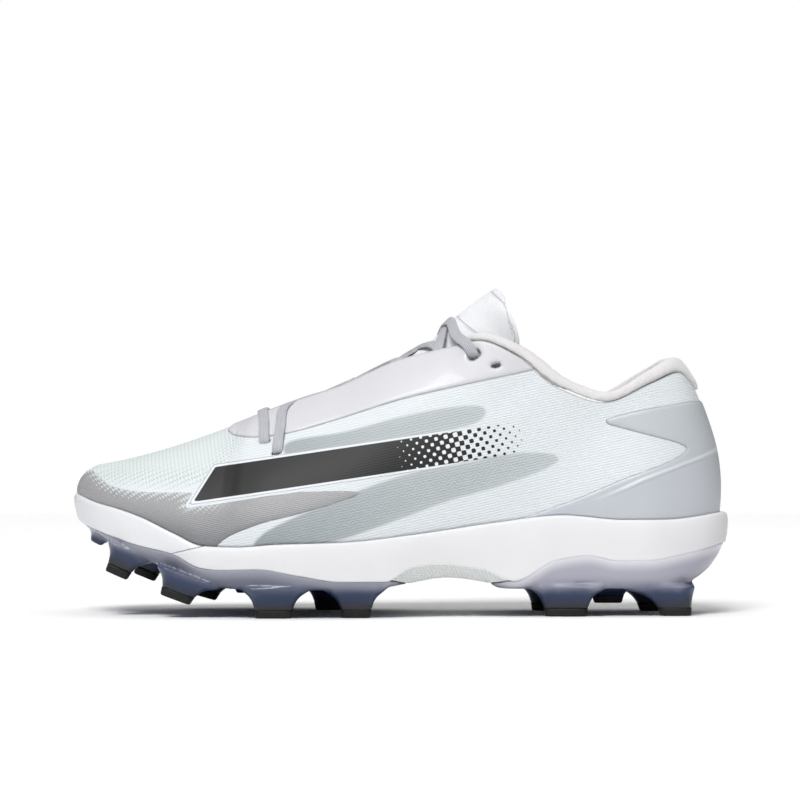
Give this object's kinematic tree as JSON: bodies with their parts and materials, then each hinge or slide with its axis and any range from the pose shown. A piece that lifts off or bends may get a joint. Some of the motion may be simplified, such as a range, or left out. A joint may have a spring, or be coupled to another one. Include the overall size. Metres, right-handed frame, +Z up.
{
  "type": "baseball cleat",
  "caption": "Low-cut left baseball cleat: knit upper with grey overlays, padded collar and tongue, laced throat, foam midsole and moulded plates with studs.",
  "frame": {"origin": "on the ground, under the middle of the shoe as seen from above", "axes": "+X from toe to heel, +Y towards the inner side of the foot, +Z up"},
  "size_m": [0.3, 0.1066, 0.1489],
  "materials": {
    "knit_upper": "pale mint white knit under a thin clear film",
    "eyestay_film": "smooth white synthetic, satin",
    "heel_counter_film": "blue grey moulded film, satin",
    "toe_guard_film": "warm grey abrasion film with a fine texture",
    "collar_textile": "off-white padded lining",
    "tongue_textile": "white padded textile",
    "lace_webbing": "grey flat woven lace",
    "insole_textile": "light grey brushed textile",
    "toe_wrap_plastic": "white moulded plastic, satin",
    "midsole_foam": "white moulded foam with a fine skin",
    "arch_insert_plastic": "pale mint moulded plastic with fine ribs",
    "plate_plastic": "translucent lavender white moulded plastic",
    "stud_tip_plastic": "charcoal moulded plastic, satin"
  },
  "bodies": {
    "root": {"upper": "knit_upper", "eyestay": "eyestay_film", "heel_counter": "heel_counter_film", "toe_guard": "toe_guard_film", "collar": "collar_textile", "tongue": "tongue_textile", "laces": "lace_webbing", "insole": "insole_textile", "toe_wrap": "toe_wrap_plastic", "midsole": "midsole_foam", "arch_insert": "arch_insert_plastic", "forefoot_plate": "plate_plastic", "heel_plate": "plate_plastic", "stud_tip_outer_1": "stud_tip_plastic", "stud_tip_outer_2": "stud_tip_plastic", "stud_tip_outer_3": "stud_tip_plastic", "stud_tip_outer_4": "stud_tip_plastic", "stud_tip_inner_1": "stud_tip_plastic", "stud_tip_inner_2": "stud_tip_plastic", "stud_tip_inner_3": "stud_tip_plastic", "stud_tip_inner_4": "stud_tip_plastic", "stud_tip_heel_outer_1": "stud_tip_plastic", "stud_tip_heel_outer_2": "stud_tip_plastic", "stud_tip_heel_inner_1": "stud_tip_plastic", "stud_tip_heel_inner_2": "stud_tip_plastic", "stud_tip_heel_middle": "stud_tip_plastic"}
  },
  "joints": []
}
